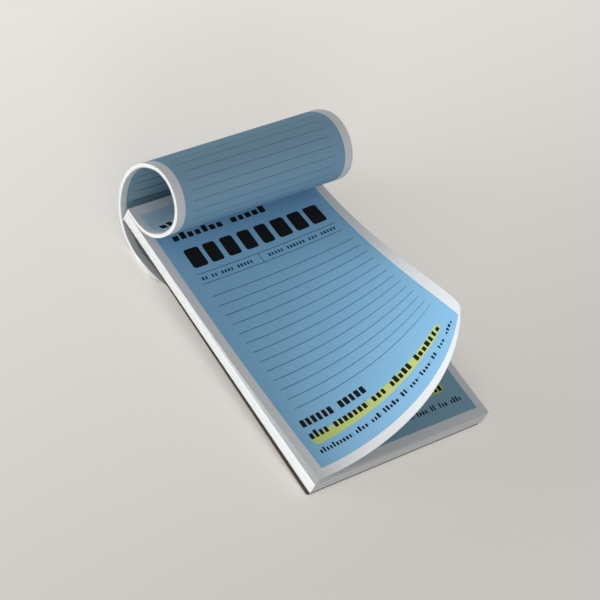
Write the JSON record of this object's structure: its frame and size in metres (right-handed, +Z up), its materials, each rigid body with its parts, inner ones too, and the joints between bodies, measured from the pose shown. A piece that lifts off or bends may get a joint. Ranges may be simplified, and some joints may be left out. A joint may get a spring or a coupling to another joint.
{
  "type": "notepad",
  "caption": "Top-glued half-letter notepad with a chipboard back, some sheets turned over the top and the page on top curled at its corner.",
  "frame": {"origin": "middle of the footprint, on the surface that the pad lies on", "axes": "+X across the page to its right edge, +Y up the page to the glued edge, +Z up"},
  "size_m": [0.1422, 0.2292, 0.1001],
  "materials": {
    "chipboard": "matt",
    "page_edges": "matt",
    "printed_page": "matt",
    "turned_page": "matt",
    "padding_film": "satin"
  },
  "bodies": {
    "root": {"backing_board": "chipboard", "page_block": "page_edges", "loose_sheet_1": "page_edges", "loose_sheet_2": "page_edges", "loose_sheet_3": "printed_page", "top_sheet": "printed_page", "turned_sheets": "turned_page", "turned_inner_sheet": "turned_page", "padding_compound": "padding_film"}
  },
  "joints": []
}
